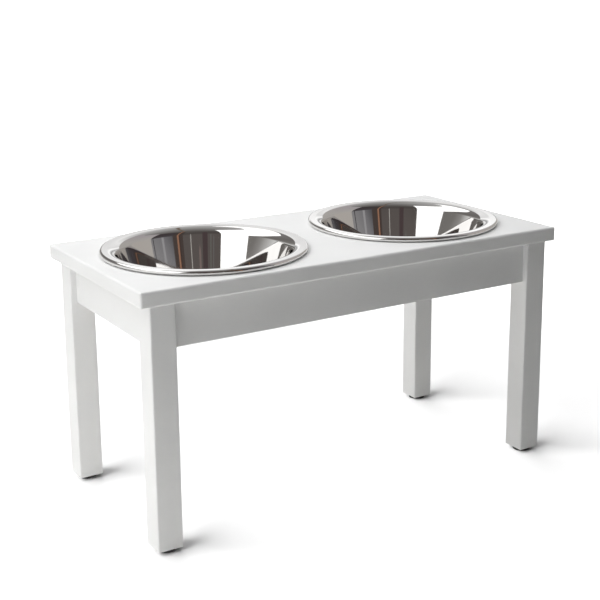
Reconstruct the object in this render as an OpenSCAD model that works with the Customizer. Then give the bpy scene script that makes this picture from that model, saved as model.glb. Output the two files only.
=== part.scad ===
// Elevated feeder for a pet: a low wooden table with two drop-in steel bowls.
// Millimetres. +X runs along the length, +Y to the back and +Z up.
// The origin is on the floor, under the middle of the table.

/* [Top board] */
// Board left past a bowl's rim at the two ends
end_margin = 21; // [17:0.5:120]
// Board left past a bowl's rim at front and back
side_margin = 12.5; // [9:0.5:60]
// Thickness of the top board
top_t = 19; // [16:0.5:25]
// Radius that rounds every edge of the top board
top_edge_r = 3; // [1:0.5:6]
// Height of the table's surface above the floor
table_h = 320; // [240:1:600]

/* [Legs] */
// Side of a square leg
leg_s = 32; // [27:1:38]
// Radius that eases a leg's long edges
leg_edge_r = 2; // [0.5:0.5:4]
// Chamfer round the foot of a leg
foot_chamfer = 1; // [0.5:0.5:2]
// Overhang of the top board past the legs at the two ends
overhang_x = 12.5; // [4:0.5:14.5]
// Overhang of the top board past the legs at front and back
overhang_y = 5; // [2:0.5:6]

/* [Aprons] */
// Height of an apron board
apron_h = 54.5; // [46:0.5:80]
// Thickness of an apron board
apron_t = 12; // [10:0.5:13]
// Step from a leg's outer face back to the apron's face
apron_recess = 8; // [2:0.5:9]
// Radius that eases an apron's long edges
apron_edge_r = 1.5; // [0.5:0.5:3]

/* [Bowls] */
// Diameter over the rolled rim
rim_d = 261; // [200:1:300]
// Gap between the two rims
rim_gap = 46; // [20:1:150]
// Width of bead, flange and lip outside the bowl's wall
flange_w = 21; // [19:0.5:28]
// Rise of the flange towards the rim, in degrees
flange_slope = 2; // [0:0.5:6]
// Thickness of the steel sheet
sheet_t = 0.8; // [0.5:0.1:1.2]
// Diameter of the rolled bead
bead_d = 6.2; // [4:0.2:8]
// Radius under the lip, where the flange turns down into the wall
lip_r = 12.5; // [8:0.5:14]
// Depth of the bowl below the table's surface
bowl_depth = 72; // [50:1:100]
// Lean of the wall from upright, in degrees
wall_lean = 15; // [4:0.5:20]
// Radius of the corner between wall and base
base_corner_r = 28; // [10:1:40]
// Rise of the base's middle above the ring it stands on
base_rise = 1.5; // [0.5:0.5:4]
// Width of the ring that the bowl stands on
base_ring_w = 9; // [5:1:15]
// Clearance between a bowl's lip and its hole, at the table's surface
hole_gap = 1.5; // [0.5:0.1:3]
// Chamfer round the upper edge of a hole
hole_chamfer = 1; // [0.5:0.5:2]
// Clearance under the rolled bead
seat_gap = 0.25; // [0.2:0.05:0.4]

/* [Corner blocks] */
// Thickness of a corner block across the corner
block_t = 18; // [14:1:20]
// Height of a corner block
block_h = 40; // [32:1:44]
// Gap between a corner block and the leg's inner edge
block_gap = 1; // [0.5:0.5:2]

/* [Fasteners] */
// Clearance round a dowel, screw, bolt or nail
fit_gap = 0.1; // [0.05:0.05:0.3]
// Spare depth past the end of a blind hole's dowel, screw, bolt or nail
end_gap = 1; // [0.5:0.5:2]
// Diameter of a dowel
dowel_d = 6; // [5:0.5:8]
// Length of a dowel
dowel_l = 24; // [16:1:26]
// Distance of a dowel's axis from the apron's nearest edge
dowel_inset = 9; // [7:0.5:10]
// Diameter of a hanger bolt
bolt_d = 6; // [5:0.5:7]
// Length of a hanger bolt inside the leg
bolt_grip = 24; // [16:1:28]
// Length of a hanger bolt past its nut
bolt_tail = 3; // [1:0.5:5]
// Outer diameter of a washer
washer_d = 18; // [14:1:20]
// Thickness of a washer
washer_t = 1.6; // [1:0.2:2]
// Width of a nut across its flats
nut_af = 10; // [9:0.5:12]
// Height of a nut
nut_h = 5; // [4:0.5:6]
// Diameter of a screw's shank
screw_d = 4; // [3:0.5:4.5]
// Diameter of a screw's head
head_d = 8; // [7:0.5:9]
// Height of a screw's head
head_h = 2.5; // [1.5:0.5:3]
// Length of a top screw inside the top board
top_grip = 12; // [8:1:14]
// Offset of a top screw from its hanger bolt, along X and Y
top_screw_off = 9; // [8:0.5:10]
// Length of a block screw inside the apron
apron_grip = 8; // [5:0.5:8.5]
// Thickness of the block under a block screw's head
block_grip = 6; // [4:0.5:8]
// Clearance round a block screw's head in its pocket
pocket_gap = 0.75; // [0.5:0.25:1.5]

/* [Glides] */
// Diameter of a glide pad
glide_d = 24; // [18:1:26]
// Height of a glide pad
glide_h = 5; // [3:0.5:8]
// Chamfer round a glide pad's lower edge
glide_chamfer = 0.6; // [0.2:0.2:1]
// Diameter of a nail's shank
nail_d = 2.6; // [2:0.2:3]
// Length of a nail inside the leg
nail_grip = 14; // [10:1:18]
// Diameter of a nail's head
nail_head_d = 8.4; // [6:0.2:10]
// Height of a nail's head
nail_head_h = 1; // [0.6:0.2:1.2]
// Depth of a nail's head above the pad's lower face
nail_sink = 0.6; // [0.4:0.2:0.8]

/* [Hidden] */
$fn = 96;
// Overshoot of a cutting shape past the face that it cuts
cut = 1;
// Length and width of the top board, from the bowls that it holds
top_l = 2 * (rim_d + end_margin) + rim_gap;
top_w = rim_d + 2 * side_margin;
// Height of the top board's underside, where legs, aprons and blocks end
under_z = table_h - top_t;
// Outer faces of the front left leg
leg_x = -(top_l / 2 - overhang_x);
leg_y = -(top_w / 2 - overhang_y);
// Inner faces of the front left leg, where the aprons butt
butt_x = leg_x + leg_s;
butt_y = leg_y + leg_s;
// Middle planes of the left and front aprons
apron_mid_x = leg_x + apron_recess + apron_t / 2;
apron_mid_y = leg_y + apron_recess + apron_t / 2;
// Where the inner faces of the left and front aprons would meet
corner_x = apron_mid_x + apron_t / 2;
corner_y = apron_mid_y + apron_t / 2;
// How far the leg's inner edge stands past that point, along X and Y
leg_proud = leg_s - apron_recess - apron_t;
// Sum of X and Y from that point on the corner block's outer, middle and inner planes
block_out = 2 * leg_proud + block_gap * sqrt(2);
block_in = block_out + block_t * sqrt(2);
block_mid = (block_out + block_in) / 2;
bolt_z = under_z - block_h / 2;
dowel_heights = [under_z - dowel_inset, under_z - apron_h + dowel_inset];
// Sheet bowl: centre and wall
bowl_x = (rim_d + rim_gap) / 2;
wall_r = rim_d / 2 - flange_w;
// Rolled bead: radius, and its centre above the table's surface
bead_r = bead_d / 2;
bead_at = [rim_d / 2 - bead_r, seat_gap + bead_r];
// Angles between which the rolled bead is open: where it leaves the flange, lapping it, and where it ends
bead_lap = 1;
bead_start = 90 + flange_slope + bead_lap;
bead_end = 210;
// Lip: its centre, under a flange whose upper face runs into the bead
flange_end = on_circle(bead_at, bead_r, 90 + flange_slope);
lip_x = wall_r + lip_r * cos(wall_lean);
flange_run = (flange_end[0] + (lip_r + sheet_t) * sin(flange_slope) - lip_x) / cos(flange_slope);
lip_at = flange_end - flange_run * [cos(flange_slope), sin(flange_slope)]
    - (lip_r + sheet_t) * [-sin(flange_slope), cos(flange_slope)];
// Hole, clear of the lip's underside at the table's surface
hole_r = lip_at[0] - sqrt(lip_r * lip_r - lip_at[1] * lip_at[1]) + hole_gap;
// Corner at the base: its centre, inside the bowl and on the wall's line
base_at_z = base_corner_r - bowl_depth;
wall_top = on_circle(lip_at, lip_r, 180 - wall_lean);
wall_foot_z = base_at_z - base_corner_r * sin(wall_lean);
base_at = [
    wall_top[0] - (wall_top[1] - wall_foot_z) * tan(wall_lean) - base_corner_r * cos(wall_lean),
    base_at_z
];
ring_in = base_at[0] - base_ring_w;

// A point at an angle on a circle
function on_circle(centre, r, angle) = centre + r * [cos(angle), sin(angle)];

// A rectangle round the origin with its corners rounded
module rounded_rect(a, b, r) {
    square([a - 2 * r, b], center = true);
    square([a, b - 2 * r], center = true);
    for (x = [-1, 1], y = [-1, 1])
        translate([x * (a / 2 - r), y * (b / 2 - r)]) circle(r);
}

// A board round the origin with every edge rounded
module rounded_board(l, w, t, r) {
    intersection() {
        translate([0, 0, -t / 2]) linear_extrude(t) rounded_rect(l, w, r);
        rotate([90, 0, 0]) translate([0, 0, -w / 2]) linear_extrude(w) rounded_rect(l, t, r);
        rotate([90, 0, 90]) translate([0, 0, -l / 2]) linear_extrude(l) rounded_rect(w, t, r);
    }
}

// Mirrors a piece of the front left corner to another corner
module at_corner(side, end) {
    mirror([side > 0 ? 1 : 0, 0, 0]) mirror([0, end > 0 ? 1 : 0, 0]) children();
}

// Repeats a piece of the front left corner at all four
module at_corners() {
    for (side = [-1, 1], end = [-1, 1]) at_corner(side, end) children();
}

// Puts a piece at the hanger bolt of the front left corner, +Z along the bolt into the table
module at_bolt(sum) {
    translate([corner_x + sum / 2, corner_y + sum / 2, bolt_z]) rotate([90, 0, 135]) children();
}

// Puts a piece on the two apron joints of the front left corner, +Z out of the leg
module at_dowels() {
    for (z = dowel_heights) {
        translate([butt_x, apron_mid_y, z]) rotate([0, 90, 0]) children();
        translate([apron_mid_x, butt_y, z]) rotate([-90, 0, 0]) children();
    }
}

// Puts a piece at the two block screws of the front left corner, +Z out of the apron's inner face
module at_block_screws() {
    translate([corner_x, corner_y + block_mid, bolt_z]) rotate([0, 90, 0]) children();
    translate([corner_x + block_mid, corner_y, bolt_z]) rotate([-90, 0, 0]) children();
}

// Puts a piece at the two top screws of the front left corner, on the top board's underside
module at_top_screws() {
    for (off = [-top_screw_off, top_screw_off])
        translate([corner_x + block_mid / 2 + off, corner_y + block_mid / 2 - off, under_z]) children();
}

// Puts a piece under the middle of the front left leg, on the floor
module at_glide() {
    translate([leg_x + leg_s / 2, leg_y + leg_s / 2, 0]) children();
}

// A plain shank from z = -below to z = above
module shank(d, below, above) {
    translate([0, 0, -below]) cylinder(d = d, h = below + above);
}

// The hole round such a shank, with spare depth below it
module shank_hole(d, below, above) {
    shank(d + 2 * fit_gap, below + end_gap, above);
}

module dowel_holes() {
    at_dowels() shank_hole(dowel_d, dowel_l / 2, dowel_l / 2 + end_gap);
}

// Top board, with a hole for each bowl and pilot holes for the top screws
module tabletop() {
    color([0.93, 0.93, 0.92])
    difference() {
        translate([0, 0, under_z + top_t / 2]) rounded_board(top_l, top_w, top_t, top_edge_r);
        for (side = [-1, 1]) translate([side * bowl_x, 0, under_z]) {
            translate([0, 0, -cut]) cylinder(r = hole_r, h = top_t + 2 * cut, $fn = 180);
            translate([0, 0, top_t - hole_chamfer])
                cylinder(r1 = hole_r, r2 = hole_r + hole_chamfer + cut, h = hole_chamfer + cut, $fn = 180);
        }
        at_corners() at_top_screws() shank_hole(screw_d, cut, top_grip);
    }
}

// Square leg with eased edges and a chamfered foot
module leg(side, end) {
    color([0.93, 0.93, 0.92])
    at_corner(side, end) difference() {
        translate([leg_x + leg_s / 2, leg_y + leg_s / 2, glide_h]) difference() {
            linear_extrude(under_z - glide_h) rounded_rect(leg_s, leg_s, leg_edge_r);
            for (turn = [0, 90, 180, 270]) rotate([0, 0, turn])
                translate([leg_s / 2 - foot_chamfer, 0, 0]) rotate([0, 45, 0])
                    translate([leg_s / 2, 0, 0]) cube([leg_s, 2 * leg_s, 2 * leg_s], center = true);
        }
        dowel_holes();
        at_bolt(2 * leg_proud) shank_hole(bolt_d, bolt_grip, cut);
        at_glide() translate([0, 0, glide_h]) shank_hole(nail_d, cut, nail_grip + end_gap);
    }
}

// Board between two legs, round the origin along X, with eased edges
module apron_board(l) {
    rotate([90, 0, 90]) translate([0, 0, -l / 2]) linear_extrude(l)
        rounded_rect(apron_t, apron_h, apron_edge_r);
}

// Apron along the front or the back
module long_apron(end) {
    color([0.93, 0.93, 0.92])
    difference() {
        translate([0, -end * apron_mid_y, under_z - apron_h / 2]) apron_board(-2 * butt_x);
        at_corners() dowel_holes();
        at_corners() at_block_screws() shank_hole(screw_d, apron_grip, cut);
    }
}

// Apron across the left or the right end
module short_apron(side) {
    color([0.93, 0.93, 0.92])
    difference() {
        translate([-side * apron_mid_x, 0, under_z - apron_h / 2]) rotate([0, 0, 90])
            apron_board(-2 * butt_y);
        at_corners() dowel_holes();
        at_corners() at_block_screws() shank_hole(screw_d, apron_grip, cut);
    }
}

// Block across an inner corner: glued and screwed to the aprons, and bolted to the leg
module corner_block(side, end) {
    color([0.85, 0.74, 0.56])
    at_corner(side, end) difference() {
        translate([corner_x, corner_y, under_z - block_h]) linear_extrude(block_h)
            polygon([[0, block_out], [0, block_in], [block_in, 0], [block_out, 0]]);
        at_bolt(block_out) shank(bolt_d + 2 * fit_gap, cut, block_t + cut);
        at_top_screws() shank(screw_d + 2 * fit_gap, block_h + cut, cut);
        at_block_screws() {
            shank(screw_d + 2 * fit_gap, cut, block_t);
            translate([0, 0, block_grip]) shank(head_d + 2 * pocket_gap, 0, block_t);
        }
    }
}

// Round pad under a leg, bored for its nail
module glide(side, end) {
    color([0.16, 0.15, 0.15])
    at_corner(side, end) at_glide() difference() {
        union() {
            cylinder(d1 = glide_d - 2 * glide_chamfer, d2 = glide_d, h = glide_chamfer);
            translate([0, 0, glide_chamfer]) cylinder(d = glide_d, h = glide_h - glide_chamfer);
        }
        shank(nail_head_d + 2 * fit_gap, cut, nail_sink + nail_head_h);
        shank(nail_d + 2 * fit_gap, cut, glide_h + cut);
    }
}

module glide_nails() {
    color("silver")
    at_corners() at_glide() translate([0, 0, nail_sink]) {
        cylinder(d = nail_head_d, h = nail_head_h);
        cylinder(d = nail_d, h = glide_h - nail_sink + nail_grip);
    }
}

// Dowels that locate the aprons on the legs
module dowels() {
    color("burlywood")
    at_corners() at_dowels() shank(dowel_d, dowel_l / 2, dowel_l / 2);
}

module hanger_bolts() {
    color("silver")
    at_corners() at_bolt(2 * leg_proud)
        shank(bolt_d, bolt_grip, block_gap + block_t + washer_t + nut_h + bolt_tail);
}

module washers() {
    color("silver")
    at_corners() at_bolt(block_in) difference() {
        cylinder(d = washer_d, h = washer_t);
        shank(bolt_d + 2 * fit_gap, cut, washer_t + cut);
    }
}

module nuts() {
    color("silver")
    at_corners() at_bolt(block_in) translate([0, 0, washer_t]) difference() {
        cylinder(d = nut_af / cos(30), h = nut_h, $fn = 6);
        shank(bolt_d + 2 * fit_gap, cut, nut_h + cut);
    }
}

// Screws from the corner blocks into the aprons
module block_screws() {
    color("gold")
    at_corners() at_block_screws() {
        shank(screw_d, apron_grip, block_grip + head_h / 2);
        translate([0, 0, block_grip]) cylinder(d = head_d, h = head_h);
    }
}

// Screws up through the corner blocks into the top board
module top_screws() {
    color("gold")
    at_corners() at_top_screws() {
        shank(screw_d, block_h + head_h / 2, top_grip);
        translate([0, 0, -block_h - head_h]) cylinder(d = head_d, h = head_h);
    }
}

// The space over the sheet's face that lies a depth in from its outer face, up past the flange
module space_over(depth) {
    difference() {
        union() {
            polygon([
                [0, base_rise - bowl_depth + depth],
                [ring_in - base_rise, base_rise - bowl_depth + depth],
                [ring_in, depth - bowl_depth],
                [base_at[0], depth - bowl_depth],
                base_at,
                on_circle(base_at, base_corner_r - depth, -wall_lean),
                on_circle(lip_at, lip_r + depth, 180 - wall_lean),
                lip_at,
                on_circle(lip_at, lip_r + depth, 90 + flange_slope),
                [flange_end[0], flange_end[1] - (sheet_t - depth) / cos(flange_slope)],
                [flange_end[0], bead_at[1] + bead_d],
                [0, bead_at[1] + bead_d]
            ]);
            translate(base_at) circle(base_corner_r - depth);
        }
        translate(lip_at) circle(lip_r + depth);
    }
}

// Bead rolled outward, down and back in under the flange
module bead_profile() {
    difference() {
        translate(bead_at) circle(bead_r);
        translate(bead_at) circle(bead_r - sheet_t);
        polygon([
            bead_at,
            on_circle(bead_at, bead_d, bead_start),
            on_circle(bead_at, bead_d, (bead_start + bead_end) / 2),
            on_circle(bead_at, bead_d, bead_end)
        ]);
    }
}

// Sheet profile of a bowl, with z = 0 on the table's surface
module bowl_profile() {
    difference() {
        space_over(0);
        space_over(sheet_t);
    }
    bead_profile();
}

// Bowl spun from one sheet, with a rolled rim
module bowl(side) {
    color([0.78, 0.78, 0.8])
    translate([side * bowl_x, 0, table_h]) rotate_extrude($fn = 180) bowl_profile();
}

tabletop();
leg(-1, -1);  // leg_front_left
leg(1, -1);  // leg_front_right
leg(-1, 1);  // leg_rear_left
leg(1, 1);  // leg_rear_right
long_apron(-1);  // apron_front
long_apron(1);  // apron_rear
short_apron(-1);  // apron_left
short_apron(1);  // apron_right
corner_block(-1, -1);  // corner_block_front_left
corner_block(1, -1);  // corner_block_front_right
corner_block(-1, 1);  // corner_block_rear_left
corner_block(1, 1);  // corner_block_rear_right
glide(-1, -1);  // glide_front_left
glide(1, -1);  // glide_front_right
glide(-1, 1);  // glide_rear_left
glide(1, 1);  // glide_rear_right
dowels();
hanger_bolts();
washers();
nuts();
block_screws();
top_screws();
glide_nails();
bowl(-1);  // bowl_left
bowl(1);  // bowl_right
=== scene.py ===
# Raised dog feeder: a white painted table with two drop-in steel bowls, on a white studio floor.
import math

import bmesh
import bpy
from mathutils import Matrix, Vector


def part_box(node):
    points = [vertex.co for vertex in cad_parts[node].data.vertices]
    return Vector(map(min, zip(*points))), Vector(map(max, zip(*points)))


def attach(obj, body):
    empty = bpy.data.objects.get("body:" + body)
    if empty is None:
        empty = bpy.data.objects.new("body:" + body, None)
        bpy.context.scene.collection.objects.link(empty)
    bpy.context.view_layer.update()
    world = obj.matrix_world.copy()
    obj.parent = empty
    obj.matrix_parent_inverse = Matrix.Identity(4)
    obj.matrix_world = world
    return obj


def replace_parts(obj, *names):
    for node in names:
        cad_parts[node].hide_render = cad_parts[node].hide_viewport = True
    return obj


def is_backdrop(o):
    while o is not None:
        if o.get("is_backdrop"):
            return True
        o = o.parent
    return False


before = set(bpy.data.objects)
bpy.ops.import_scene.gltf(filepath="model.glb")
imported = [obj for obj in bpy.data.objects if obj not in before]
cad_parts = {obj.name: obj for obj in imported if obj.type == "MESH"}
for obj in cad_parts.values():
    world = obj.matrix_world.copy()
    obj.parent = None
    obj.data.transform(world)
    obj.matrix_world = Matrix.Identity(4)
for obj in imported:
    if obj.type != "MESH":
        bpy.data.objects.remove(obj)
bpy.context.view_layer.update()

MM = 0.001

# Sizes that the frame gives, in metres
TOP_LO, TOP_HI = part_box("tabletop")
TOP_Z = TOP_HI.z
RIM_LO, RIM_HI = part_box("bowl_left")
RIM_R = (RIM_HI.y - RIM_LO.y) / 2
BOWL_X = -(RIM_HI.x + RIM_LO.x) / 2
BOWL_LO_Z = RIM_LO.z


# Camera: near the photograph's view, fitted to its edges and rims with the lens axis held 60 pixels above
# the picture's middle. A free axis fits closer but lies 275 pixels above it, too far for the other views.
CAMERA_YAW = math.radians(31.552)
CAMERA_PITCH = math.radians(12.978)
CAMERA_ROLL = math.radians(-0.479)
CAMERA_AT = Vector((-0.8009, -1.2834, 0.6621))
FOCAL_PX = 1174.98
PICTURE_PX = 600
AXIS_Y_PX = 240


def add_camera():
    yaw, pitch = CAMERA_YAW, CAMERA_PITCH
    ahead = Vector((math.sin(yaw) * math.cos(pitch), math.cos(yaw) * math.cos(pitch), -math.sin(pitch)))
    level = Vector((math.cos(yaw), -math.sin(yaw), 0))
    above = level.cross(ahead)
    c, s = math.cos(CAMERA_ROLL), math.sin(CAMERA_ROLL)
    right, up = c * level + s * above, c * above - s * level
    data = bpy.data.cameras.new("camera")
    data.lens = FOCAL_PX / PICTURE_PX * data.sensor_width
    data.shift_y = (AXIS_Y_PX - PICTURE_PX / 2) / PICTURE_PX
    data.clip_end = 50
    camera = bpy.data.objects.new("camera", data)
    turn = Matrix((right, up, -ahead)).transposed()
    camera.matrix_world = Matrix.Translation(CAMERA_AT) @ turn.to_4x4()
    bpy.context.scene.collection.objects.link(camera)
    bpy.context.scene.camera = camera


add_camera()


# Node helpers

class Nodes:
    """The node tree of one material, with short calls for the nodes used here."""

    def __init__(self, name):
        self.material = bpy.data.materials.new(name)
        self.material.use_nodes = True
        self.tree = self.material.node_tree
        self.tree.nodes.clear()
        self.out = self.tree.nodes.new("ShaderNodeOutputMaterial")

    def add(self, kind, inputs=None, **settings):
        node = self.tree.nodes.new("ShaderNode" + kind)
        for key, value in settings.items():
            setattr(node, key, value)
        for key, value in (inputs or {}).items():
            if isinstance(value, bpy.types.NodeSocket):
                self.tree.links.new(value, node.inputs[key])
            else:
                node.inputs[key].default_value = value
        return node

    def surface(self, shader):
        self.tree.links.new(shader.outputs[0], self.out.inputs["Surface"])
        return self.material

    def place(self, scale=(1, 1, 1), turn=(0, 0, 0)):
        """Object coordinates in metres, stretched."""
        where = self.add("TexCoord").outputs["Object"]
        return self.add("Mapping", {"Vector": where, "Scale": scale, "Rotation": turn}).outputs[0]

    def noise(self, where, scale, detail=3.0, roughness=0.5):
        inputs = {"Vector": where, "Scale": scale, "Detail": detail, "Roughness": roughness}
        return self.add("TexNoise", inputs).outputs["Fac"]

    def remap(self, value, low, high, to_low, to_high):
        inputs = {"Value": value, "From Min": low, "From Max": high, "To Min": to_low, "To Max": to_high}
        return self.add("MapRange", inputs).outputs[0]

    def blend(self, fac, a, b):
        inputs = {"Factor": fac, "A": a, "B": b}
        node = self.tree.nodes.new("ShaderNodeMix")
        node.data_type = "RGBA"
        sockets = {"Factor": node.inputs[0], "A": node.inputs[6], "B": node.inputs[7]}
        for key, value in inputs.items():
            if isinstance(value, bpy.types.NodeSocket):
                self.tree.links.new(value, sockets[key])
            else:
                sockets[key].default_value = value
        return node.outputs[2]

    def bump(self, height, strength, distance, normal=None):
        inputs = {"Height": height, "Strength": strength, "Distance": distance}
        if normal is not None:
            inputs["Normal"] = normal
        return self.add("Bump", inputs).outputs[0]


def grey(value):
    return (value, value, value, 1)


# Materials

def white_paint(name, along):
    """Satin white paint over planed wood; along is the grain's axis, 0 to 2."""
    n = Nodes(name)
    stretch = [1.0, 1.0, 1.0]
    stretch[along] = 0.06
    grain_at = n.place(scale=stretch)
    plain_at = n.place()
    grain = n.noise(grain_at, 260, detail=4, roughness=0.6)
    strokes = n.noise(grain_at, 90, detail=2)
    clouds = n.noise(plain_at, 9, detail=2)
    speckle = n.noise(plain_at, 900, detail=1)
    tint = n.remap(clouds, 0.3, 0.7, 0, 1)
    colour = n.blend(tint, (0.835, 0.838, 0.835, 1), (0.87, 0.872, 0.868, 1))
    rough = n.remap(strokes, 0.3, 0.7, 0.36, 0.46)
    fine = n.bump(speckle, 0.25, 0.05 * MM)
    coarse = n.bump(grain, 0.3, 0.12 * MM, normal=fine)
    shader = n.add("BsdfPrincipled", {
        "Base Color": colour, "Roughness": rough, "Normal": coarse,
        "Specular IOR Level": 0.45,
    })
    return n.surface(shader)


def bare_wood(name, along):
    """Planed hardwood with long grain."""
    n = Nodes(name)
    stretch = [1.0, 1.0, 1.0]
    stretch[along] = 0.08
    at = n.place(scale=stretch)
    rings = n.noise(at, 140, detail=5, roughness=0.65)
    pores = n.noise(at, 900, detail=2)
    colour = n.blend(n.remap(rings, 0.3, 0.7, 0, 1), (0.50, 0.33, 0.18, 1), (0.70, 0.52, 0.33, 1))
    dark = n.blend(n.remap(pores, 0.62, 0.75, 0, 1), colour, (0.34, 0.21, 0.11, 1))
    normal = n.bump(rings, 0.4, 0.2 * MM)
    shader = n.add("BsdfPrincipled", {
        "Base Color": dark, "Roughness": n.remap(rings, 0.3, 0.7, 0.55, 0.7), "Normal": normal,
    })
    return n.surface(shader)


def polished_steel(name):
    """Mirror-polished sheet with the faint ring marks of spinning and buffing."""
    n = Nodes(name)
    at = n.place()
    smear = n.noise(at, 14, detail=3)
    buff = n.noise(n.place(scale=(1, 1, 40)), 60, detail=2)
    rough = n.remap(smear, 0.35, 0.7, 0.025, 0.06)
    colour = n.blend(n.remap(smear, 0.3, 0.7, 0, 1), (0.77, 0.76, 0.75, 1), (0.80, 0.79, 0.78, 1))
    normal = n.bump(buff, 0.05, 0.02 * MM)
    shader = n.add("BsdfPrincipled", {
        "Base Color": colour, "Metallic": 1.0, "Roughness": rough, "Normal": normal,
    })
    return n.surface(shader)


def zinc_steel(name):
    """Bright zinc plate, slightly mottled."""
    n = Nodes(name)
    at = n.place()
    mottle = n.noise(at, 600, detail=3)
    colour = n.blend(n.remap(mottle, 0.3, 0.7, 0, 1), (0.58, 0.59, 0.61, 1), (0.70, 0.71, 0.72, 1))
    shader = n.add("BsdfPrincipled", {
        "Base Color": colour, "Metallic": 1.0, "Roughness": n.remap(mottle, 0.3, 0.7, 0.24, 0.42),
        "Normal": n.bump(mottle, 0.2, 0.05 * MM),
    })
    return n.surface(shader)


def glide_rubber(name):
    """Matt black rubber with a moulded grain."""
    n = Nodes(name)
    at = n.place()
    grain = n.noise(at, 1500, detail=2)
    dust = n.noise(at, 120, detail=3)
    colour = n.blend(n.remap(dust, 0.45, 0.8, 0, 1), (0.030, 0.028, 0.028, 1), (0.065, 0.06, 0.058, 1))
    shader = n.add("BsdfPrincipled", {
        "Base Color": colour, "Roughness": n.remap(dust, 0.3, 0.7, 0.55, 0.75),
        "Normal": n.bump(grain, 0.5, 0.08 * MM),
    })
    return n.surface(shader)


def dress(node, material):
    """Gives a CAD node its material."""
    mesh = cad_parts[node].data
    mesh.materials.clear()
    mesh.materials.append(material)


PAINT_X = white_paint("white_paint_x", 0)
PAINT_Y = white_paint("white_paint_y", 1)
PAINT_Z = white_paint("white_paint_z", 2)
WOOD = bare_wood("bare_wood", 2)
STEEL = polished_steel("polished_steel")
ZINC = zinc_steel("zinc_steel")
RUBBER = glide_rubber("glide_rubber")

CORNERS = ("front_left", "front_right", "rear_left", "rear_right")
dress("tabletop", PAINT_X)
dress("apron_front", PAINT_X)
dress("apron_rear", PAINT_X)
dress("apron_left", PAINT_Y)
dress("apron_right", PAINT_Y)
for corner in CORNERS:
    dress("leg_" + corner, PAINT_Z)
    dress("corner_block_" + corner, WOOD)
    dress("glide_" + corner, RUBBER)
dress("dowels", WOOD)
for node in ("hanger_bolts", "washers", "nuts", "block_screws", "top_screws", "glide_nails"):
    dress(node, ZINC)


# Bowls: spun sheet, finer than the solids that they stand for

# Sheet and rim, as the solids have them, in metres; the gap is 2 microns less, to stay within their box
SHEET = 0.8 * MM
BEAD_R = 3.1 * MM
SEAT_GAP = 0.248 * MM
FLANGE = 21 * MM
FLANGE_SLOPE = 2
LIP_R = 12.5 * MM
WALL_LEAN = 15
CORNER_R = 28 * MM
BASE_RISE = 1.5 * MM
BASE_RING = 9 * MM
BASE_FILLET = 2.5 * MM
BEAD_END = -150
BOWL_SEGMENTS = 240

# Degrees between the points of each rounded part
ARC_STEP = 5
CORNER_STEP = 2.5
BEAD_STEP = 6
EDGE_STEP = 30


def polar(centre, radius, degrees):
    angle = math.radians(degrees)
    return (centre[0] + radius * math.cos(angle), centre[1] + radius * math.sin(angle))


def arc(centre, radius, start, end, step):
    """Points of an arc, each with the direction that faces away from its centre."""
    count = max(2, round(abs(end - start) / step))
    angles = [start + (end - start) * i / count for i in range(count + 1)]
    return [(polar(centre, radius, a), polar((0, 0), 1, a)) for a in angles]


def fillet(a, b, c, radius, step):
    """Arc of a radius that rounds the bend a-b-c, as points with directions on the path's left side."""
    a, b, c = Vector(a), Vector(b), Vector(c)
    back, on = (a - b).normalized(), (c - b).normalized()
    half = back.angle(on) / 2
    middle = b + (back + on).normalized() * radius / math.sin(half)
    foot = b + back * radius / math.tan(half)
    left_turn = (b - a).cross(c - b) > 0
    side = -1 if left_turn else 1
    start = math.degrees(math.atan2(foot.y - middle.y, foot.x - middle.x))
    sweep = math.degrees(math.pi - 2 * half) * (1 if left_turn else -1)
    return [(p, (side * n[0], side * n[1])) for p, n in arc(middle, radius, start, start + sweep, step)]


def flip(points):
    return [(p, (-n[0], -n[1])) for p, n in points]


def bowl_middle():
    """The sheet's middle line from the axis to the rolled edge, with directions on its inner side."""
    half = SHEET / 2
    bead = (RIM_R - BEAD_R, TOP_Z + SEAT_GAP + BEAD_R)
    slope, lean = math.radians(FLANGE_SLOPE), math.radians(WALL_LEAN)
    end = polar(bead, BEAD_R, 90 + FLANGE_SLOPE)
    over_lip = LIP_R + SHEET
    wall_r = RIM_R - FLANGE
    run = (end[0] + over_lip * math.sin(slope) - wall_r - LIP_R * math.cos(lean)) / math.cos(slope)
    lip = (
        end[0] - run * math.cos(slope) + over_lip * math.sin(slope),
        end[1] - run * math.sin(slope) - over_lip * math.cos(slope),
    )
    wall_top = polar(lip, LIP_R, 180 - WALL_LEAN)
    corner_z = BOWL_LO_Z + CORNER_R
    wall_foot = corner_z - CORNER_R * math.sin(lean)
    corner_x = wall_top[0] - (wall_top[1] - wall_foot) * math.tan(lean) - CORNER_R * math.cos(lean)
    ring = corner_x - BASE_RING
    floor_z = BOWL_LO_Z + half
    axis = (0, floor_z + BASE_RISE)
    step_in, step_out = (ring - BASE_RISE, floor_z + BASE_RISE), (ring, floor_z)
    corner = (corner_x, corner_z)
    points = [(axis, (0, 1))]
    points += fillet(axis, step_in, step_out, BASE_FILLET, ARC_STEP)
    points += fillet(step_in, step_out, (corner_x, floor_z), BASE_FILLET, ARC_STEP)
    points += flip(arc(corner, CORNER_R - half, -90, -WALL_LEAN, CORNER_STEP))
    points += arc(lip, LIP_R + half, 180 - WALL_LEAN, 90 + FLANGE_SLOPE, ARC_STEP)
    points += arc(bead, BEAD_R - half, 90 + FLANGE_SLOPE, BEAD_END, BEAD_STEP)
    return points


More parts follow.
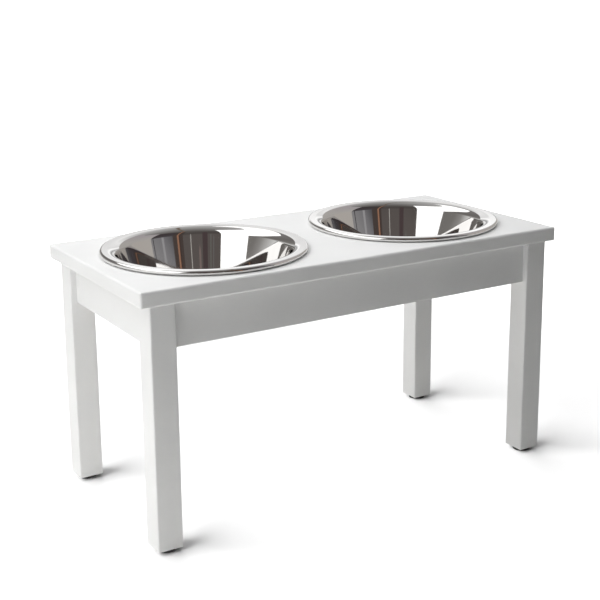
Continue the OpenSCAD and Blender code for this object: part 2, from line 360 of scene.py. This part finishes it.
def sheet_outline(middle):
    """Closed outline of a sheet round its middle line, with a rounded cut edge, and its directions."""
    half = SHEET / 2
    inner = [((p[0] + n[0] * half, p[1] + n[1] * half), n) for p, n in middle]
    outer = [((p[0] - n[0] * half, p[1] - n[1] * half), (-n[0], -n[1])) for p, n in middle]
    tip, n = middle[-1]
    start = math.degrees(math.atan2(n[1], n[0]))
    edge = arc(tip, half, start, start - 180, EDGE_STEP)
    return inner + edge[1:-1] + outer[::-1]


def turned(name, outline, centre_x, segments):
    """Turns an outline of radii and heights round the upright axis at centre_x, with exact normals."""
    mesh = bmesh.new()
    rings, normals = [], []
    for (radius, z), (across, up) in outline:
        if radius < 1e-6:
            rings.append([mesh.verts.new((centre_x, 0, z))])
            normals.append(Vector((0, 0, 1 if up > 0 else -1)))
            continue
        ring = []
        for i in range(segments):
            c, s = math.cos(2 * math.pi * i / segments), math.sin(2 * math.pi * i / segments)
            ring.append(mesh.verts.new((centre_x + radius * c, radius * s, z)))
            normals.append(Vector((across * c, across * s, up)))
        rings.append(ring)
    for low, high in zip(rings, rings[1:]):
        for i in range(segments):
            j = (i + 1) % segments
            if len(low) == 1:
                mesh.faces.new((low[0], high[j], high[i]))
            elif len(high) == 1:
                mesh.faces.new((low[i], low[j], high[0]))
            else:
                mesh.faces.new((low[i], low[j], high[j], high[i]))
    bmesh.ops.recalc_face_normals(mesh, faces=mesh.faces)
    for face in mesh.faces:
        face.smooth = True
    data = bpy.data.meshes.new(name)
    mesh.to_mesh(data)
    mesh.free()
    data.normals_split_custom_set_from_vertices(normals)
    return data


def add_bowl(side, body, material):
    outline = sheet_outline(bowl_middle())
    name = "spun_" + body
    obj = bpy.data.objects.new(name, turned(name, outline, side * BOWL_X, BOWL_SEGMENTS))
    obj.data.materials.append(material)
    bpy.context.scene.collection.objects.link(obj)
    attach(obj, body)
    return obj


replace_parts(add_bowl(-1, "left_bowl", STEEL), "bowl_left")
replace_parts(add_bowl(1, "right_bowl", STEEL), "bowl_right")


# Stage: a white floor, what the steel reflects, lamps and world

def staged(name, mesh, material):
    obj = bpy.data.objects.new(name, mesh)
    obj.data.materials.append(material)
    bpy.context.scene.collection.objects.link(obj)
    obj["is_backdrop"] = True
    return obj


def quad(name, corners):
    mesh = bpy.data.meshes.new(name)
    mesh.from_pydata(corners, [], [range(len(corners))])
    return mesh


# Two floors share one level. The camera sees one, which glows further out: white but for the shadows of the
# legs and glides. Every other ray but a shadow's sees the second, which bounces light up onto the object.
FLOOR_HALF = 30.0
# Painted shade: the seen floor is coloured darker towards +X, for light that falls off to the right
FLOOR_PAINTED_LIGHT_LEFT, FLOOR_PAINTED_LIGHT_RIGHT = 1.0, 0.88
FLOOR_PAINTED_LIGHT_X = 0.27
FLOOR_BOUNCE = (0.86, 0.855, 0.84, 1)
GLOW_FROM, GLOW_TO = 0.6, 1.3


def seen_floor_material():
    n = Nodes("floor_seen")
    where = n.add("TexCoord").outputs["Object"]
    along = n.add("SeparateXYZ", {"Vector": where}).outputs["X"]
    # Painted shade: the floor's colour falls along X, darker on the right
    painted_falloff = n.remap(along, -FLOOR_PAINTED_LIGHT_X, FLOOR_PAINTED_LIGHT_X, FLOOR_PAINTED_LIGHT_LEFT, FLOOR_PAINTED_LIGHT_RIGHT)
    lit = n.add("BsdfDiffuse", {"Color": painted_falloff})
    far = n.add("VectorMath", {0: where}, operation="LENGTH").outputs["Value"]
    glow = n.add("Emission", {"Color": grey(1.0), "Strength": n.remap(far, GLOW_FROM, GLOW_TO, 0, 1)})
    return n.surface(n.add("AddShader", {0: lit.outputs[0], 1: glow.outputs[0]}))


def bounce_floor_material():
    n = Nodes("floor_bounce")
    return n.surface(n.add("BsdfDiffuse", {"Color": FLOOR_BOUNCE}))


def add_floor(name, material, hidden):
    half = FLOOR_HALF
    corners = [(-half, -half, 0), (half, -half, 0), (half, half, 0), (-half, half, 0)]
    obj = staged(name, quad(name, corners), material)
    for ray in hidden:
        setattr(obj, "visible_" + ray, False)
    return obj


floor = add_floor("floor", seen_floor_material(), ("diffuse", "glossy", "transmission", "shadow"))
bounce_floor = add_floor("bounce_floor", bounce_floor_material(), ("camera", "shadow"))


# What the steel reflects: a studio room of glowing cards that only glossy rays see. An azimuth runs from
# the front (-Y) towards the left (-X), and an elevation is seen from the rims.
ROOM = 2.6
CEILING_Z = 3.4
CEILING_HALF = ROOM + 0.4
DARK = (0.115, 0.100, 0.094)
DIM = (0.085, 0.075, 0.070)
WHITE = (1.6, 1.6, 1.6)
POLE_AT = Vector((0.21, -1.88, 0))
POLE_W = 0.085
POLE = (0.34, 0.18, 0.115)
ARM_DROP = 0.05
ARM_RUN = (0.9, 3.6)
ARM = (0.16, 0.12, 0.09)


def around(azimuth, distance=ROOM):
    """A point on the floor plan."""
    angle = math.radians(azimuth)
    return (-distance * math.sin(angle), -distance * math.cos(angle))


def height(elevation, distance=ROOM):
    return TOP_Z + distance * math.tan(math.radians(elevation))


def card_material(name, stops, axis="Z"):
    """A glow whose colour follows stops of place and colour along an axis."""
    n = Nodes(name)
    peak = max(1.0, *(max(colour) for _, colour in stops))
    low, high = stops[0][0], stops[-1][0]
    if len(stops) == 1:
        plain = (*(c / peak for c in stops[0][1]), 1)
        return n.surface(n.add("Emission", {"Color": plain, "Strength": peak}))
    place = n.add("SeparateXYZ", {"Vector": n.add("TexCoord").outputs["Object"]}).outputs[axis]
    ramp = n.add("ValToRGB", {"Fac": n.remap(place, low, high, 0, 1)})
    elements = ramp.color_ramp.elements
    while len(elements) < len(stops):
        elements.new(0.5)
    for element, (at, colour) in zip(elements, stops):
        element.position = (at - low) / (high - low)
        element.color = (*(c / peak for c in colour), 1)
    return n.surface(n.add("Emission", {"Color": ramp.outputs["Color"], "Strength": peak}))


def add_card(name, corners, stops, axis="Z"):
    card = staged(name, quad(name, corners), card_material(name, stops, axis))
    for ray in ("camera", "diffuse", "transmission", "volume_scatter", "shadow"):
        setattr(card, "visible_" + ray, False)


def add_wall(name, start, end, stops):
    """An upright card between two azimuths, from the floor to the ceiling, with stops by elevation."""
    (x0, y0), (x1, y1) = around(start), around(end)
    corners = [(x0, y0, 0), (x1, y1, 0), (x1, y1, CEILING_Z), (x0, y0, CEILING_Z)]
    add_card(name, corners, [(height(e), colour) for e, colour in stops])


def add_room():
    front = [(12, DARK), (17, DARK), (20, DIM), (35, DIM), (45, (0.11, 0.10, 0.095))]
    add_wall("front_wall", 0, 60, front)
    add_wall("front_gap", -15, 0, [(12, (0.075, 0.058, 0.052)), (45, (0.06, 0.05, 0.045))])
    add_wall("front_cloth", -50, -15, [
        (11, (0.27, 0.265, 0.27)), (14, (0.20, 0.195, 0.205)), (16, (0.11, 0.107, 0.115)),
        (18, (0.075, 0.067, 0.072)), (35, (0.06, 0.05, 0.053)),
    ])
    add_wall("window_wall", -88, -50, [
        (8, (0.48, 0.45, 0.42)), (20, (0.46, 0.44, 0.42)), (45, (0.42, 0.39, 0.40)),
    ])
    add_wall("right_wall", -125, -88, [
        (8, (0.44, 0.42, 0.40)), (20, (0.46, 0.44, 0.42)), (45, (0.42, 0.39, 0.40)),
    ])
    backdrop = [
        (5, (0.40, 0.40, 0.40)), (10, (1.2, 1.2, 1.2)), (14, (0.85, 0.85, 0.85)),
        (25, (1.0, 1.0, 1.0)), (36, (0.75, 0.75, 0.75)), (48, (0.52, 0.52, 0.52)),
    ]
    add_wall("backdrop_right", -145, -125, backdrop)
    add_wall("backdrop_left", -165, -145, backdrop)
    rear = [
        (5, (0.70, 0.70, 0.69)), (9, (0.30, 0.29, 0.28)), (11, (0.21, 0.20, 0.19)),
        (20, (0.17, 0.16, 0.155)), (40, (0.25, 0.24, 0.235)),
    ]
    add_wall("rear_wall", -180, -165, rear)
    add_wall("rear_left_wall", 140, 180, rear)
    add_wall("left_wall", 100, 140, rear)
    add_wall("side_wall", 60, 100, rear)
    half, z = CEILING_HALF, CEILING_Z
    corners = [(-half, -half, z), (half, -half, z), (half, half, z), (-half, half, z)]
    add_card("ceiling", corners, [
        (-2.0, (0.12, 0.11, 0.105)), (-1.2, (0.18, 0.17, 0.165)), (-0.4, (0.24, 0.235, 0.23)),
        (0.35, (0.35, 0.345, 0.34)), (2.6, (0.55, 0.55, 0.545)),
    ], "Y")


# Softbox: bends round the left and the back; azimuth and elevation of its lower edge
SOFTBOX_AT = 1.11
SOFTBOX_TOP = 62
SOFTBOX_EDGE = (
    (56.7, 8), (75, 8), (92.8, 8), (93.2, 12.6), (98, 13.2),
    (115, 20), (130, 27), (146, 32), (170, 34), (195, 36),
)


def add_softbox():
    for i, ((start, low), (end, high)) in enumerate(zip(SOFTBOX_EDGE, SOFTBOX_EDGE[1:])):
        (x0, y0), (x1, y1) = around(start, SOFTBOX_AT), around(end, SOFTBOX_AT)
        top = height(SOFTBOX_TOP, SOFTBOX_AT)
        foot = [(x0, y0, height(low, SOFTBOX_AT)), (x1, y1, height(high, SOFTBOX_AT))]
        corners = foot + [(x1, y1, top), (x0, y0, top)]
        add_card("softbox_%d" % i, corners, [(0, WHITE)])


# Upright strips in the dark half: azimuth, width in degrees, highest elevation and colour
STRIPS = (
    (12, 0.9, 20, (0.55, 0.53, 0.50)),
    (-5.5, 4.5, 45, (0.062, 0.044, 0.040)),
    (24.5, 3.0, 16.5, (0.20, 0.155, 0.145)),
    (32, 7.0, 40, (0.075, 0.055, 0.056)),
    (40, 2.0, 18, (0.14, 0.135, 0.125)),
    (44, 1.2, 17, (0.15, 0.145, 0.14)),
    (-30, 3.5, 15.5, (0.34, 0.335, 0.345)),
    (-46, 1.2, 17, (0.05, 0.045, 0.05)),
)
STRIPS_AT = 2.0


def add_strips():
    for i, (azimuth, width, elevation, colour) in enumerate(STRIPS):
        (x0, y0), (x1, y1) = (around(azimuth + side * width / 2, STRIPS_AT) for side in (-1, 1))
        top = height(elevation, STRIPS_AT)
        corners = [(x0, y0, 0), (x1, y1, 0), (x1, y1, top), (x0, y0, top)]
        add_card("strip_%d" % i, corners, [(0, colour)])


def add_pole():
    """A brown pole at the front, with an arm that runs back under the ceiling."""
    left, right = POLE_AT.x - POLE_W / 2, POLE_AT.x + POLE_W / 2
    y, z = POLE_AT.y, CEILING_Z - ARM_DROP
    across, back = ARM_RUN
    add_card("pole", [(left, y, 0), (right, y, 0), (right, y, z), (left, y, z)], [(0, POLE)])
    far_end = [(right + across, y + back, z), (left + across, y + back, z)]
    add_card("arm", [(left, y, z), (right, y, z)] + far_end, [(0, ARM)])


add_room()
add_softbox()
add_strips()
add_pole()


# Soft light from all round on the object and the floors
FILL = 0.05


def add_world():
    """White to the camera, a dim room to the steel and a soft fill to the rest."""
    world = bpy.data.worlds.new("world")
    bpy.context.scene.world = world
    world.use_nodes = True
    tree = world.node_tree
    tree.nodes.clear()
    out = tree.nodes.new("ShaderNodeOutputWorld")
    path = tree.nodes.new("ShaderNodeLightPath")

    def background(colour):
        node = tree.nodes.new("ShaderNodeBackground")
        node.inputs["Color"].default_value = (*colour, 1)
        return node

    def mixed(fac, a, b):
        node = tree.nodes.new("ShaderNodeMixShader")
        tree.links.new(fac, node.inputs[0])
        tree.links.new(a.outputs[0], node.inputs[1])
        tree.links.new(b.outputs[0], node.inputs[2])
        return node

    fill = background((FILL, FILL, FILL))
    room = background(DARK)
    white = background((1, 1, 1))
    inside = mixed(path.outputs["Is Glossy Ray"], fill, room)
    seen = mixed(path.outputs["Is Camera Ray"], inside, white)
    tree.links.new(seen.outputs[0], out.inputs["Surface"])


def group(name, objects):
    """A collection for light linking."""
    collection = bpy.data.collections.new(name)
    for obj in objects:
        collection.objects.link(obj)
    return collection


def add_lamp(name, at, aim, size, glow, lights, shadows=None):
    """A soft lamp with a surface of a given glow, which lights a group and lets a group shade it."""
    data = bpy.data.lights.new(name, "AREA")
    data.shape = "RECTANGLE"
    data.size, data.size_y = size
    data.energy = glow * math.pi * size[0] * size[1]
    lamp = bpy.data.objects.new(name, data)
    lamp.location = at
    lamp.rotation_mode = "QUATERNION"
    lamp.rotation_quaternion = (Vector(aim) - Vector(at)).to_track_quat("-Z", "Y")
    lamp.visible_glossy = False
    lamp.light_linking.receiver_collection = lights
    if shadows:
        lamp.light_linking.blocker_collection = shadows
    bpy.context.scene.collection.objects.link(lamp)


def add_sun(name, azimuth, elevation, spread, share):
    """An even light on the seen floor alone, as a share of what makes it white; only the feet shade it."""
    data = bpy.data.lights.new(name, "SUN")
    data.angle = math.radians(spread)
    rise = math.sin(math.radians(elevation))
    data.energy = share * math.pi / rise
    lamp = bpy.data.objects.new(name, data)
    x, y = around(azimuth, math.cos(math.radians(elevation)))
    lamp.rotation_mode = "QUATERNION"
    lamp.rotation_quaternion = Vector((x, y, rise)).to_track_quat("Z", "Y")
    lamp.visible_glossy = False
    lamp.light_linking.receiver_collection = FLOOR
    lamp.light_linking.blocker_collection = FEET
    bpy.context.scene.collection.objects.link(lamp)


def solid_pieces():
    return [o for o in bpy.context.scene.objects if o.type == "MESH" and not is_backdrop(o)]


add_world()
OBJECT = group("lit_object", solid_pieces())
FLOOR = group("lit_floor", [floor])
BOUNCE = group("lit_bounce_floor", [bounce_floor])
FEET = group("feet", [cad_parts[kind + corner] for kind in ("leg_", "glide_") for corner in CORNERS])

# Area lamps: place, aim and size in metres
KEY = ((-1.04, -0.27, 0.85), (0.0, 0.06, 0.85), (0.75, 1.5))
BACK = ((-0.62, 0.95, 1.45), (0.0, 0.0, 0.3), (1.5, 1.1))
TOP = ((0.12, -0.2, 1.7), (0.12, -0.2, 0.0), (1.1, 0.7))

# What each lights, with the glow of its surface; on the floor that bounces, only the feet shade it
add_lamp("key", *KEY, 1.4, OBJECT)
add_lamp("back", *BACK, 4.0, OBJECT)
add_lamp("top", *TOP, 3.6, OBJECT)
add_lamp("bounce_key", *KEY, 5.8, BOUNCE, FEET)
add_lamp("bounce_back", *BACK, 5.4, BOUNCE, FEET)

# Suns on the seen floor: azimuth, elevation and spread in degrees, and share
SUNS = (
    ("sun_side", 96, 38, 64, 1.35),
    ("sun_back", 185, 45, 50, 0.5),
    ("sun_top", 90, 88, 60, 0.1),
)
for sun in SUNS:
    add_sun(*sun)

bpy.context.scene.view_settings.view_transform = "Standard"
